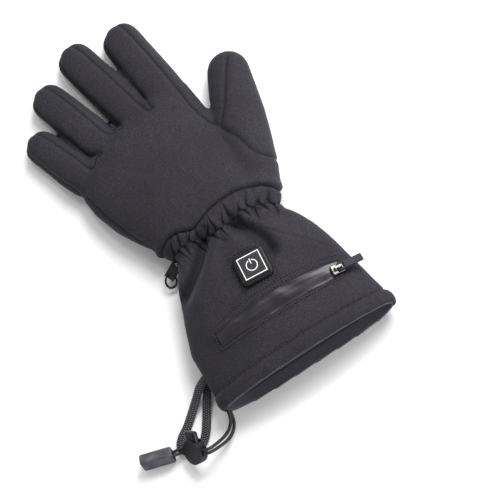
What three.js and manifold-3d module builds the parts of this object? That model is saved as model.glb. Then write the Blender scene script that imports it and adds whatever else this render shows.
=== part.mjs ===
// Heated softshell gauntlet glove for the left hand, lying on its palm with the back of the hand up.
// Millimetres. +Y runs from the cuff to the fingers, +X to the thumb, +Z up from the surface it lies on.
import * as THREE from 'three';
import { mergeVertices } from 'three/addons/utils/BufferGeometryUtils.js';
import { RoundedBoxGeometry } from 'three/addons/geometries/RoundedBoxGeometry.js';
import Module from 'manifold-3d';

const wasm = await Module();
wasm.setup();

// Driving dimensions
const seamGap = 0.3;
const handWall = 3.0;
const cuffWall = 2.6;
const facingWall = 1.0;
const restPress = 6.0;

const cuffLength = 138;
const cuffWidth = 166;
const cuffHeight = 43;
const hemDepth = 14;
const hemPuff = 0.6;
const facingDepth = 46;
const lipLine = -6;
const endReach = 8;
const gatherCount = 16;
const gatherDepth = 1.7;

const palmLength = 124;
const palmWidth = 134;
const palmHeight = 39;
const fingerHeight = 23;
const thumbHeight = 29;

const indexLength = 97;
const indexWidth = 36;
const middleLength = 98;
const middleWidth = 34;
const ringLength = 87;
const ringWidth = 33;
const littleLength = 76;
const littleWidth = 31;
const thumbLength = 128;
const thumbWidth = 47;

const badgeSide = 28;
const badgeRise = 3.6;
const badgeFaceSide = 22;
const badgeFaceRise = 0.9;
const badgeRim = 0.8;
const badgeCorner = 2.0;
const badgeFaceBevel = 0.4;
const badgeTurn = -8;
const badgeX = 8;
const badgeY = 76;

const zipLength = 120;
const zipWidth = 14;
const zipBow = 3.5;
const zipTurn = -5.4;
const zipX = 5.4;
const zipY = 39.2;
const tapeThick = 0.9;

const sliderLength = 11;
const sliderWidth = 8.4;
const sliderHeight = 2.6;
const bridgeWidth = 2.0;
const bridgeBar = 1.0;
const bridgeRise = 2.9;
const bridgeLength = 7.0;
const pullLength = 17;
const pullWidth = 6.4;
const pullThick = 2.0;
const eyeBar = 1.3;
const pullClearance = 0.35;
const pullReach = 6.6;

const hookTabLength = 13;
const hookTabWidth = 9;
const hookTabThick = 2.4;
const hookRingLength = 13;
const hookRingWidth = 11;
const hookWire = 1.8;

const leashWidth = 7.6;
const leashThick = 3.6;
const drawcordThick = 2.8;

const lockRadius = 10.8;
const lockThick = 8.4;
const buttonWidth = 13.0;
const buttonThick = 5.6;
const buttonProud = 6.5;
const buttonTravel = 3.5;
const buttonClearance = 0.35;
const buttonFoot = 1.6;
const buttonEdge = 2.4;
const cordClearance = 0.4;

const drawcordPitch = 3.1;
const lockCentre = [-119.4, -10.6, 14.9];
const endCentre = [-149.5, 5.2];
const endLength = 28;
const endDeep = 14;
const endThick = 9.5;
const endSlot = 8;
const endRoll = 18;
const endRound = 2;

const cuffSides = 64;
const palmSides = 32;
const fingerSides = 20;
const cordSides = 8;
const leashSides = 10;

// Colours
const clothColour = 0x23242a;
const facingColour = 0x232b3c;
const rubberColour = 0x17181b;
const tapeColour = 0x2c2d30;
const nickelColour = 0x55524e;
const cordColour = 0x121316;
const plasticColour = 0x1c2027;

const radians = THREE.MathUtils.degToRad;

// Cuff sections. along: share of cuffLength from the lip; shift: share of cuffWidth; wide: share of
// cuffWidth; tall: share of cuffHeight; slant: degrees; gather: share of gatherDepth
const cuffSections = [
  { along: 0.000, shift: 0.006, wide: 0.988, tall: 0.900, slant: -4.2, gather: 0.00 },
  { along: 0.012, shift: 0.006, wide: 1.000, tall: 0.930, slant: -4.2, gather: 0.00 },
  { along: 0.100, shift: 0.003, wide: 0.985, tall: 0.945, slant: -4.6, gather: 0.00 },
  { along: 0.190, shift: -0.002, wide: 0.970, tall: 0.960, slant: -5.0, gather: 0.00 },
  { along: 0.370, shift: -0.003, wide: 0.940, tall: 1.000, slant: -6.0, gather: 0.00 },
  { along: 0.550, shift: 0.016, wide: 0.852, tall: 1.000, slant: -7.0, gather: 0.00 },
  { along: 0.630, shift: 0.023, wide: 0.810, tall: 0.985, slant: -7.5, gather: 0.05 },
  { along: 0.710, shift: 0.030, wide: 0.765, tall: 0.950, slant: -8.0, gather: 0.12 },
  { along: 0.780, shift: 0.034, wide: 0.712, tall: 0.895, slant: -8.3, gather: 0.30 },
  { along: 0.840, shift: 0.036, wide: 0.660, tall: 0.830, slant: -8.5, gather: 0.60 },
  { along: 0.890, shift: 0.031, wide: 0.621, tall: 0.765, slant: -8.7, gather: 1.00 },
  { along: 0.925, shift: 0.028, wide: 0.608, tall: 0.740, slant: -8.8, gather: 1.00 },
  { along: 0.955, shift: 0.030, wide: 0.636, tall: 0.800, slant: -8.6, gather: 0.90 },
  { along: 0.985, shift: 0.032, wide: 0.670, tall: 0.845, slant: -8.3, gather: 0.45 },
  { along: 1.000, shift: 0.033, wide: 0.680, tall: 0.845, slant: -8.0, gather: 0.20 },
];

// Cuff dents. fromX, toX, reach: shares of cuffWidth; fromY, toY: shares of cuffLength from the lip;
// deep: share of cuffHeight
const cuffDents = [
  { fromX: -0.067, fromY: 0.955, toX: -0.140, toY: 0.862, reach: 0.036, deep: 0.090 },
  { fromX: -0.140, fromY: 0.862, toX: -0.255, toY: 0.768, reach: 0.040, deep: 0.080 },
  { fromX: -0.255, fromY: 0.768, toX: -0.345, toY: 0.705, reach: 0.042, deep: 0.060 },
  { fromX: 0.090, fromY: 0.930, toX: 0.150, toY: 0.745, reach: 0.034, deep: 0.055 },
  { fromX: 0.150, fromY: 0.745, toX: 0.152, toY: 0.600, reach: 0.032, deep: 0.050 },
  { fromX: 0.230, fromY: 0.880, toX: 0.330, toY: 0.700, reach: 0.036, deep: 0.035 },
  { fromX: -0.420, fromY: 0.260, toX: -0.300, toY: 0.180, reach: 0.035, deep: 0.025 },
];

// Palm sections. along: share of palmLength from the wrist seam; shift, wide: shares of palmWidth;
// tall: share of palmHeight; slant: degrees
const palmSections = [
  { along: 0.000, shift: 0.041, wide: 0.843, tall: 0.930, slant: -8.0 },
  { along: 0.060, shift: 0.034, wide: 0.865, tall: 0.955, slant: -7.0 },
  { along: 0.160, shift: 0.010, wide: 0.905, tall: 0.990, slant: -5.5 },
  { along: 0.360, shift: -0.046, wide: 0.950, tall: 1.000, slant: -3.0 },
  { along: 0.580, shift: -0.086, wide: 0.968, tall: 0.950, slant: 0.0 },
  { along: 0.760, shift: -0.097, wide: 0.962, tall: 0.850, slant: 5.0 },
  { along: 0.890, shift: -0.090, wide: 0.938, tall: 0.740, slant: 9.0 },
  { along: 0.960, shift: -0.082, wide: 0.885, tall: 0.640, slant: 10.5 },
  { along: 1.000, shift: -0.076, wide: 0.800, tall: 0.480, slant: 11.5 },
];

// Finger sections. along: share of the straight part before the tip; wide and tall: shares of the
// finger's own width and height
const fingerSections = [
  { along: 0.00, wide: 0.90, tall: 1.00 },
  { along: 0.22, wide: 1.02, tall: 1.10 },
  { along: 0.42, wide: 1.03, tall: 1.07 },
  { along: 0.62, wide: 1.00, tall: 1.02 },
  { along: 0.82, wide: 0.97, tall: 0.99 },
  { along: 1.00, wide: 0.96, tall: 0.95 },
];

const thumbSections = [
  { along: 0.00, wide: 0.86, tall: 1.10 },
  { along: 0.20, wide: 0.98, tall: 1.12 },
  { along: 0.42, wide: 1.00, tall: 1.06 },
  { along: 0.66, wide: 0.97, tall: 0.98 },
  { along: 0.86, wide: 0.88, tall: 0.90 },
  { along: 1.00, wide: 0.80, tall: 0.84 },
];

// Fingers. x: share of palmWidth; y: share of palmLength from the wrist seam; heading: degrees from
// +Y, positive to the thumb
const wristLine = lipLine + cuffLength;
const fingers = [
  { name: 'index_finger', x: 0.240, y: 0.850, heading: -4.0, length: indexLength, width: indexWidth },
  { name: 'middle_finger', x: 0.002, y: 0.938, heading: -10.5, length: middleLength, width: middleWidth },
  { name: 'ring_finger', x: -0.264, y: 0.912, heading: -14.5, length: ringLength, width: ringWidth },
  { name: 'little_finger', x: -0.462, y: 0.762, heading: -18.0, length: littleLength, width: littleWidth },
];
const thumb = { name: 'thumb', x: 0.330, y: 0.024, heading: 21.2, length: thumbLength, width: thumbWidth };

// Knuckle seam, from the thumb side to the little finger, and the thumb's seam from its crotch down.
// x: share of palmWidth; y: share of palmLength from the wrist seam
const knuckleSeam = [
  { x: 0.600, y: 1.010 },
  { x: 0.090, y: 1.022 },
  { x: -0.158, y: 1.040 },
  { x: -0.392, y: 0.945 },
  { x: -0.700, y: 0.690 },
];
const thumbSeam = [
  { x: 0.396, y: 0.640 },
  { x: 0.404, y: 0.520 },
  { x: 0.448, y: 0.350 },
  { x: 0.470, y: 0.240 },
  { x: 0.508, y: 0.170 },
  { x: 0.720, y: 0.080 },
];

// Cord routes, chosen by hand
const leashRoute = [
  [-84.2, 31.5, 14.4], [-88.5, 30.2, 12.2], [-94.5, 27.0, 7.6], [-101.0, 23.2, 4.2], [-108.0, 18.6, 2.4],
  [-115.5, 13.4, 1.9], [-122.5, 9.6, 1.9], [-127.4, 5.6, 1.9], [-128.8, 0.8, 1.9], [-126.2, -4.2, 1.9],
  [-121.0, -6.8, 1.9], [-114.8, -6.6, 1.9], [-109.2, -3.4, 1.9], [-104.2, 1.6, 1.9], [-99.6, 7.4, 2.2],
  [-94.8, 13.8, 2.8], [-90.4, 19.2, 4.2], [-86.8, 23.4, 6.4], [-84.2, 26.4, 8.0],
];
const drawcordRouteA = [
  [-79.6, -1.6, 13.2], [-80.8, -4.4, 11.2], [-83.5, -7.4, 7.6], [-88.3, -10.6, 5.5], [-93.6, -13.8, 9],
  [-98.2, -16.2, 14.8], [-102.6, -17.9, 20.2], [-105.8, -18.5, 22.6], [-108.5, -18.3, 23.2],
  [-111, -17.4, 22.9], [-112.76, -15.96, 21.71], [-116, -12.42, 18.45], [-118.8, -9.37, 15.63],
  [-121.6, -6.32, 12.82], [-124.84, -2.78, 9.55], [-126.6, -1.3, 8.2], [-129.4, 0.3, 7.1],
  [-132.7, 1.3, 7], [-136.1, 2, 7.4], [-140.1, 3.2, 7.6],
];
const drawcordRouteB = [
  [-78.4, -1.6, 9.4], [-79.8, -5.2, 6.4], [-82.7, -9.6, 3.4], [-87.7, -13.8, 2.7], [-93.2, -17, 5.8],
  [-98.2, -19, 11.6], [-103, -20.6, 17.8], [-106.6, -21.1, 20.7], [-109.5, -20.8, 21.6],
  [-112.2, -19.8, 21.4], [-113.96, -18.41, 20.25], [-117.2, -14.87, 16.98], [-120, -11.82, 14.17],
  [-122.8, -8.77, 11.35], [-126.04, -5.23, 8.09], [-127.8, -3.8, 6.8], [-130.6, -2.4, 6],
  [-133.9, -1.5, 6.5], [-137.3, -0.7, 7.9], [-141.4, 0.5, 8.6],
];

// Solids from geometries, and geometries from solids
function solidOf(geometry) {
  const bare = geometry.clone();
  for (const extra of ['normal', 'uv']) bare.deleteAttribute(extra);
  const merged = mergeVertices(bare, 1e-4);
  return new wasm.Manifold(new wasm.Mesh({
    numProp: 3,
    vertProperties: Float32Array.from(merged.attributes.position.array),
    triVerts: Uint32Array.from(merged.index.array),
  }));
}

function geometryOf(solid) {
  const mesh = solid.getMesh();
  const geometry = new THREE.BufferGeometry();
  geometry.setAttribute('position', new THREE.BufferAttribute(Float32Array.from(mesh.vertProperties), 3));
  geometry.setIndex(new THREE.BufferAttribute(Uint32Array.from(mesh.triVerts), 1));
  const flat = geometry.toNonIndexed();
  flat.computeVertexNormals();
  return flat;
}

// A closed solid through rings of points that run the same way round
function loftSolid(rings) {
  const sides = rings[0].length;
  const points = rings.flat();
  const last = rings.length - 1;
  const index = [];
  for (let r = 0; r < last; r++) {
    for (let i = 0; i < sides; i++) {
      const a = r * sides + i;
      const b = r * sides + (i + 1) % sides;
      index.push(a, a + sides, b, b, a + sides, b + sides);
    }
  }
  for (const [ring, turned] of [[0, false], [last, true]]) {
    const centre = new THREE.Vector3();
    rings[ring].forEach((point) => centre.addScaledVector(point, 1 / sides));
    points.push(centre);
    for (let i = 0; i < sides; i++) {
      const a = ring * sides + i;
      const b = ring * sides + (i + 1) % sides;
      index.push(points.length - 1, turned ? b : a, turned ? a : b);
    }
  }
  const geometry = new THREE.BufferGeometry().setFromPoints(points);
  geometry.setIndex(index);
  const solid = solidOf(geometry);
  return solid.volume() < 0 ? solidOf(geometry.scale(-1, 1, 1)).mirror([1, 0, 0]) : solid;
}

const signedPower = (value, power) => Math.sign(value) * Math.abs(value) ** power;

// One flattened ring standing across the direction that it turns to. It is pressed flat where it rests.
function flatRing({ x, y, turn, half, tall, squareness, sides, grow, lift = () => 0 }) {
  const press = Math.min(restPress, tall / 4);
  const ring = [];
  for (let i = 0; i < sides; i++) {
    const angle = 2 * Math.PI * i / sides;
    const across = (half + grow) * signedPower(Math.cos(angle), 2 / squareness);
    const up = signedPower(Math.sin(angle), 2 / squareness);
    const px = x + across * Math.cos(turn);
    const py = y + across * Math.sin(turn);
    const pz = (tall - press) / 2 + ((tall + press) / 2 + grow) * up + lift(px, py, angle);
    ring.push(new THREE.Vector3(px, py, Math.max(pz, -grow)));
  }
  return ring;
}

// Depth of the dents at a point seen from above
function dentAt(x, y) {
  let depth = 0;
  for (const dent of cuffDents) {
    const from = new THREE.Vector2(dent.fromX * cuffWidth, lipLine + dent.fromY * cuffLength);
    const run = new THREE.Vector2(dent.toX * cuffWidth, lipLine + dent.toY * cuffLength).sub(from);
    const here = new THREE.Vector2(x, y).sub(from);
    const share = THREE.MathUtils.clamp(here.dot(run) / run.lengthSq(), 0, 1);
    const away = here.addScaledVector(run, -share).length() / (dent.reach * cuffWidth);
    depth = Math.max(depth, dent.deep * cuffHeight * Math.exp(-away * away));
  }
  return depth;
}

const cuffRow = (row, past = 0) => ({
  x: row.shift * cuffWidth,
  y: lipLine + row.along * cuffLength + past,
  turn: radians(row.slant),
  half: row.wide * cuffWidth / 2,
  tall: row.tall * cuffHeight,
});

// The cuff's outer form, grown or shrunk; past carries both open ends further on
function cuffSolid(grow, past = 0) {
  const last = cuffSections.length - 1;
  return loftSolid(cuffSections.map((row, i) => flatRing({
    ...cuffRow(row, i === 0 ? -past : i === last ? past : 0),
    squareness: 2.1,
    sides: cuffSides,
    grow,
    lift: (x, y, angle) => {
      const gather = gatherDepth * row.gather * Math.cos(gatherCount * angle);
      const top = Math.max(Math.sin(angle), 0);
      return gather * Math.abs(Math.sin(angle)) - dentAt(x, y) * Math.sqrt(top);
    },
  })));
}

// Height of the cuff's back at a point seen from above
function cuffTop(x, y) {
  const rows = cuffSections.map(cuffRow);
  const ahead = (row) => (y - row.y) * Math.cos(row.turn) - (x - row.x) * Math.sin(row.turn);
  const next = Math.max(1, rows.findIndex((row) => ahead(row) < 0));
  const share = ahead(rows[next - 1]) / (ahead(rows[next - 1]) - ahead(rows[next]));
  const mix = (key) => THREE.MathUtils.lerp(rows[next - 1][key], rows[next][key], share);
  const across = Math.abs(x - mix('x')) / Math.cos(mix('turn')) / mix('half');
  const up = (1 - across ** 2.1) ** (1 / 2.1);
  return (mix('tall') - restPress) / 2 + (mix('tall') + restPress) / 2 * up - dentAt(x, y) * Math.sqrt(up);
}

function palmSolid(grow) {
  return loftSolid(palmSections.map((row, i) => flatRing({
    x: row.shift * palmWidth,
    y: wristLine + row.along * palmLength + (i === palmSections.length - 1 ? grow : 0)
      - (i === 0 ? endReach : 0),
    turn: radians(row.slant),
    half: row.wide * palmWidth / 2,
    tall: row.tall * palmHeight,
    squareness: 2.3,
    sides: palmSides,
    grow,
  })));
}

// A finger or thumb: a straight part of sections and a domed tip
function fingerSolid(finger, sections, height, grow) {
  const heading = radians(-finger.heading);
  const dome = finger.width * 0.44;
  const baseX = finger.x * palmWidth;
  const baseY = wristLine + finger.y * palmLength;
  const rows = sections.map((row) => ({ ...row, reach: row.along * (finger.length - dome) }));
  const tip = rows.at(-1);
  for (const angle of [22, 42, 60, 75, 86]) {
    const shrink = Math.cos(radians(angle)) ** 0.8;
    rows.push({
      reach: finger.length - dome + (dome + grow) * Math.sin(radians(angle)),
      wide: tip.wide * shrink,
      tall: tip.tall * (0.42 + 0.58 * shrink),
    });
  }
  return loftSolid(rows.map((row) => flatRing({
    x: baseX - row.reach * Math.sin(heading),
    y: baseY + row.reach * Math.cos(heading),
    turn: heading,
    half: Math.max(row.wide * finger.width / 2, handWall / 2 - grow),
    tall: row.tall * height,
    squareness: 2.3,
    sides: fingerSides,
    grow,
  })));
}

const union = (solids) => solids.reduce((sum, solid) => sum.add(solid));

// A prism standing on the surface over an outline seen from above
function prism(points, height = cuffHeight * 2.5, base = 0) {
  const shape = new THREE.Shape(points.map(([x, y]) => new THREE.Vector2(x, y)));
  const geometry = new THREE.ExtrudeGeometry(shape, { depth: height, bevelEnabled: false });
  return solidOf(geometry.translate(0, 0, base));
}

// The cuff's section at a distance from the lip, also a little past its ends
function cuffAt(distance) {
  const along = THREE.MathUtils.clamp(distance / cuffLength, 0, 1);
  const next = Math.max(1, cuffSections.findIndex((row) => row.along >= along));
  const [from, to] = [cuffSections[next - 1], cuffSections[next]];
  const share = (along - from.along) / (to.along - from.along);
  const row = { along };
  for (const key of ['shift', 'wide', 'tall', 'slant']) {
    row[key] = THREE.MathUtils.lerp(from[key], to[key], share);
  }
  return cuffRow(row, distance - along * cuffLength);
}

// A slab across the cuff between two distances from the lip
function cuffSlab(from, to) {
  const [near, far] = [from, to].map((distance) => {
    const { x, y, turn } = cuffAt(distance);
    const reach = new THREE.Vector2(Math.cos(turn), Math.sin(turn)).multiplyScalar(cuffWidth);
    return [[x - reach.x, y - reach.y], [x + reach.x, y + reach.y]];
  });
  return prism([near[0], near[1], far[1], far[0]]);
}

const meshes = [];
const partGroup = new THREE.Group();

function addMesh(name, geometry, colour, roughness = 0.8, metalness = 0, parent = partGroup) {
  const material = new THREE.MeshStandardMaterial({ color: colour, roughness, metalness });
  const mesh = new THREE.Mesh(geometry, material);
  mesh.name = name;
  meshes.push(mesh);
  parent.add(mesh);
  return mesh;
}

// Hand: one hollow shell, cut along its seams into the palm, four fingers and the thumb
function addHand() {
  const body = (grow) => union([
    palmSolid(grow),
    ...fingers.map((finger) => fingerSolid(finger, fingerSections, fingerHeight, grow)),
    fingerSolid(thumb, thumbSections, thumbHeight, grow),
  ]);
  const shell = body(0).subtract(body(-handWall)).subtract(cuffSlab(0, cuffLength + seamGap));
  const place = (point) => [point.x * palmWidth, wristLine + point.y * palmLength];
  const seam = knuckleSeam.map(place);
  const thumbLine = thumbSeam.map(place);
  const side = palmWidth * 2;
  const far = wristLine + palmLength * 3;
  const half = seamGap / 2;
  const shift = (points, dx, dy) => points.map(([x, y]) => [x + dx, y + dy]);

  // The line between two fingers runs from their crotch along the mean of their headings
  const between = [0, 1, 2].map((i) => {
    const heading = radians((fingers[i].heading + fingers[i + 1].heading) / 2);
    return [seam[i + 1][0] + (far - seam[i + 1][1]) * Math.tan(heading), far];
  });
  const thumbTop = [thumbLine[0][0] + thumbWidth * 0.08, seam[0][1]];
  const thumbZone = prism([...shift([...thumbLine, [side, thumbLine.at(-1)[1]]], half, 0), [side, far],
    [thumbTop[0] + half, far], [thumbTop[0] + half, thumbTop[1]]]);
  const palmZone = prism([
    ...shift([...thumbLine].reverse(), -half, 0), [thumbTop[0] - half, thumbTop[1] - half],
    ...shift(seam.slice(1), 0, -half), [-side, wristLine - palmLength / 3],
    [thumbLine.at(-1)[0], wristLine - palmLength / 3],
  ]);

  fingers.forEach((finger, i) => {
    const right = i === 0 ? [thumbTop[0] - half, far] : between[i - 1];
    const left = i === 3 ? [-side, far] : between[i];
    const start = i === 0 ? [thumbTop[0] - half, thumbTop[1]] : seam[i];
    const zone = prism([
      ...shift([start, right], i === 0 ? 0 : -half, 0).map(([x, y]) => [x, y + half]),
      ...shift([left, seam[i + 1]], i === 3 ? 0 : half, 0).map(([x, y]) => [x, y + half]),
    ]);
    addMesh(finger.name, geometryOf(largest(shell.intersect(zone))), clothColour);
  });
  addMesh('thumb', geometryOf(largest(shell.intersect(thumbZone))), clothColour);
  addMesh('palm_shell', geometryOf(largest(shell.intersect(palmZone))), clothColour);
}

// The body of a cut that holds the piece, without the crumbs that a seam leaves
function largest(solid) {
  return solid.decompose().sort((a, b) => b.volume() - a.volume())[0];
}

function addCuff() {
  const hollow = cuffSolid(-cuffWall, endReach);
  const cloth = cuffSolid(0).subtract(hollow);
  const hem = cuffSolid(hemPuff).subtract(hollow);
  const inside = -cuffWall - seamGap;
  const lining = cuffSolid(inside).subtract(cuffSolid(inside - facingWall, endReach));
  const gauntlet = cloth.intersect(cuffSlab(hemDepth + seamGap, 2 * cuffLength));
  addMesh('gauntlet', geometryOf(largest(gauntlet)), clothColour);
  addMesh('hem', geometryOf(largest(hem.intersect(cuffSlab(-endReach, hemDepth)))), clothColour);
  addMesh('cuff_facing', geometryOf(largest(lining.intersect(cuffSlab(seamGap, facingDepth)))), facingColour);
}

// Frame on the cuff's back: x along a heading seen from above, z out of the cloth
function cuffFrame(x, y, degrees, reach) {
  const heading = new THREE.Vector3(Math.cos(radians(degrees)), Math.sin(radians(degrees)), 0);
  const slope = (dx, dy) => (cuffTop(x + dx, y + dy) - cuffTop(x - dx, y - dy)) / (2 * reach);
  const normal = new THREE.Vector3(-slope(reach, 0), -slope(0, reach), 1).normalize();
  const along = heading.addScaledVector(normal, -heading.dot(normal)).normalize();
  const across = new THREE.Vector3().crossVectors(normal, along);
  const frame = new THREE.Matrix4().makeBasis(along, across, normal);
  return frame.setPosition(x, y, cuffTop(x, y));
}

function placedGroup(frame) {
  const group = new THREE.Group();
  frame.decompose(group.position, group.quaternion, group.scale);
  partGroup.add(group);
  return group;
}

// A solid modelled in a frame, cut by one that is in the part's own frame
function cutInFrame(geometry, frame, cutter) {
  const placed = solidOf(geometry.clone().applyMatrix4(frame)).subtract(cutter);
  return geometryOf(placed).applyMatrix4(frame.clone().invert());
}

function roundedSquare(side, corner) {
  const half = side / 2;
  const shape = new THREE.Shape();
  shape.moveTo(half - corner, -half);
  shape.absarc(half - corner, -half + corner, corner, -Math.PI / 2, 0);
  shape.absarc(half - corner, half - corner, corner, 0, Math.PI / 2);
  shape.absarc(-half + corner, half - corner, corner, Math.PI / 2, Math.PI);
  shape.absarc(-half + corner, -half + corner, corner, Math.PI, Math.PI * 1.5);
  shape.closePath();
  return shape;
}

function addBadge() {
  const frame = cuffFrame(badgeX, badgeY, badgeTurn, badgeSide / 2);
  const bevel = (badgeSide - badgeFaceSide) / 2 - badgeRim;
  const drop = badgeRise * 3;
  const base = new THREE.ExtrudeGeometry(roundedSquare(badgeSide - 2 * bevel, badgeCorner), {
    depth: drop, bevelThickness: badgeRise * 0.6, bevelSize: bevel, bevelSegments: 2, curveSegments: 3,
  }).translate(0, 0, badgeRise * 0.4 - drop);
  const recess = badgeFaceRise + seamGap;
  const pocket = new THREE.ExtrudeGeometry(roundedSquare(badgeFaceSide + 2 * seamGap, badgeCorner / 2), {
    depth: recess * 2, bevelEnabled: false, curveSegments: 3,
  }).translate(0, 0, badgeRise - recess);
  const cut = geometryOf(solidOf(base).subtract(solidOf(pocket)));
  const face = new THREE.ExtrudeGeometry(roundedSquare(badgeFaceSide - 2 * badgeFaceBevel, badgeCorner / 2), {
    depth: badgeFaceRise,
    bevelThickness: badgeFaceBevel,
    bevelSize: badgeFaceBevel,
    bevelSegments: 1,
    curveSegments: 3,
  }).translate(0, 0, badgeRise - badgeFaceRise + badgeFaceBevel);
  const group = placedGroup(frame);
  addMesh('badge_base', cutInFrame(cut, frame, cuffSolid(seamGap)), rubberColour, 0.55, 0, group);
  addMesh('badge_face', face, rubberColour, 0.45, 0, group);
}

// A point of the zip's middle line, from -1 at the little-finger end to 1 at the thumb end
function zipPoint(share) {
  const along = share * zipLength / 2;
  const aside = -zipBow * (1 - share * share);
  const turn = radians(zipTurn);
  return [
    zipX + along * Math.cos(turn) - aside * Math.sin(turn),
    zipY + along * Math.sin(turn) + aside * Math.cos(turn),
  ];
}

function addZip() {
  const steps = 12;
  const edge = (side) => Array.from({ length: steps + 1 }, (_, i) => {
    const [x, y] = zipPoint(2 * i / steps - 1);
    return [x, y + side * zipWidth / 2];
  });
  const band = prism([...edge(-1), ...edge(1).reverse()], cuffHeight * 2, cuffHeight * 0.4);
  const layer = cuffSolid(seamGap + tapeThick).subtract(cuffSolid(seamGap));
  addMesh('zip_tape', geometryOf(largest(layer.intersect(band))), tapeColour, 0.3);

  const bottom = tapeThick + 2 * seamGap;
  const [x, y] = zipPoint(1 - sliderLength * 0.8 / zipLength);
  const frame = cuffFrame(x, y, zipTurn, sliderLength / 2);
  const block = new RoundedBoxGeometry(sliderLength, sliderWidth, sliderHeight * 3, 2, 0.8);
  const top = bottom + sliderHeight;
  const rise = pullClearance + bridgeRise + bridgeBar;
  const arch = new THREE.BoxGeometry(bridgeLength, bridgeWidth, rise + bridgeBar);
  const window = new THREE.BoxGeometry(bridgeLength - 2 * bridgeBar, sliderWidth, bridgeRise + pullClearance);
  const body = solidOf(arch.translate(0, 0, top + (rise - bridgeBar) / 2))
    .subtract(solidOf(window.translate(0, 0, top + (bridgeRise + pullClearance) / 2)))
    .add(solidOf(block.translate(0, 0, top - sliderHeight * 1.5)));
  const group = placedGroup(frame);
  const cutter = cuffSolid(bottom);
  addMesh('zip_slider', cutInFrame(geometryOf(body), frame, cutter), nickelColour, 0.35, 1, group);

  // The pull's own origin is on its hinge axis, which runs across the zip
  const arm = bridgeWidth / 2 + pullClearance;
  const armWidth = pullWidth / 2 - arm;
  const bar = new THREE.CylinderGeometry(eyeBar / 2, eyeBar / 2, pullWidth, 12);
  const side = (sign) => new THREE.BoxGeometry(pullReach, armWidth, eyeBar)
    .translate(pullReach / 2, sign * (arm + armWidth / 2), 0);
  const tab = new RoundedBoxGeometry(pullLength, pullWidth, pullThick, 2, pullThick * 0.3)
    .translate(pullReach - eyeBar + pullLength / 2, 0, 0);
  const pull = union([bar, side(1), side(-1), tab].map(solidOf));
  const hinge = new THREE.Group();
  hinge.position.z = top + pullClearance + pullThick / 2;
  group.add(hinge);
  addMesh('zip_pull', geometryOf(pull), rubberColour, 0.6, 0, hinge);
}

// Webbing tab at the wrist's little-finger side with a small ring through its end
function addHook() {
  const wrist = cuffAt(cuffLength * 0.925);
  const root = new THREE.Vector3(
    wrist.x - wrist.half * Math.cos(wrist.turn),
    wrist.y - wrist.half * Math.sin(wrist.turn) - hookTabWidth / 4,
    wrist.tall * 0.4,
  );
  const out = new THREE.Vector3(-0.9, -0.28, -0.33).normalize();
  const flat = new THREE.Vector3(-0.3, 0.95, 0.02);
  const up = new THREE.Vector3().crossVectors(out, flat).normalize();
  flat.crossVectors(up, out);
  const tabFrame = new THREE.Matrix4().makeBasis(out, flat, up).setPosition(root);
  const tab = new THREE.BoxGeometry(hookTabLength * 1.5, hookTabWidth, hookTabThick)
    .translate(hookTabLength / 4, 0, 0);

  const ringAlong = new THREE.Vector3(-0.52, -0.76, -0.36).normalize();
  const ringUp = new THREE.Vector3(0.1, -0.3, 1);
  const ringAcross = new THREE.Vector3().crossVectors(ringUp, ringAlong).normalize();
  ringUp.crossVectors(ringAlong, ringAcross);
  const ringCentre = root.clone().addScaledVector(out, hookTabLength - hookWire * 1.6)
    .addScaledVector(ringAlong, hookRingLength / 2 - hookWire);
  const ringFrame = new THREE.Matrix4().makeBasis(ringAlong, ringAcross, ringUp).setPosition(ringCentre);
  const ring = (wire) => new THREE.TorusGeometry((hookRingWidth - hookWire) / 2, wire / 2, 8, 24)
    .scale((hookRingLength - hookWire) / (hookRingWidth - hookWire), 1, 1);
  const cutter = solidOf(ring(hookWire + 2 * seamGap).applyMatrix4(ringFrame)).add(cuffSolid(seamGap));
  const tabSolid = largest(solidOf(tab.applyMatrix4(tabFrame)).subtract(cutter));
  addMesh('hook_tab', geometryOf(tabSolid), rubberColour, 0.85);
  addMesh('hook_ring', ring(hookWire), plasticColour, 0.4, 0, placedGroup(ringFrame));
}

// A round cord along its chosen points
function roundCord(route, thick, steps) {
  const circle = new THREE.Shape().absarc(0, 0, thick / 2, 0, 2 * Math.PI);
  return new THREE.ExtrudeGeometry(circle, {
    steps, curveSegments: cordSides / 2, extrudePath: routeCurve(route),
  });
}

const routeCurve = (route) => new THREE.CatmullRomCurve3(route.map((point) => new THREE.Vector3(...point)));

// A flat braided cord along its chosen points, which lies with its broad side down
function flatCord(route, width, thick, steps) {
  const curve = routeCurve(route);
  const rings = curve.getSpacedPoints(steps).map((point, i) => {
    const along = curve.getTangentAt(i / steps);
    const side = new THREE.Vector3(-along.y, along.x, 0).normalize();
    const up = new THREE.Vector3().crossVectors(along, side);
    return Array.from({ length: leashSides }, (_, k) => {
      const angle = 2 * Math.PI * k / leashSides;
      return point.clone().addScaledVector(side, Math.cos(angle) * width / 2)
        .addScaledVector(up, Math.sin(angle) * thick / 2);
    });
  });
  return geometryOf(loftSolid(rings));
}

function addCords() {
  addMesh('leash', flatCord(leashRoute, leashWidth, leashThick, 32), cordColour, 0.9);
  addMesh('drawcord_a', roundCord(drawcordRouteA, drawcordThick, 24), cordColour, 0.5);
  addMesh('drawcord_b', roundCord(drawcordRouteB, drawcordThick, 24), cordColour, 0.5);
}

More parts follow.
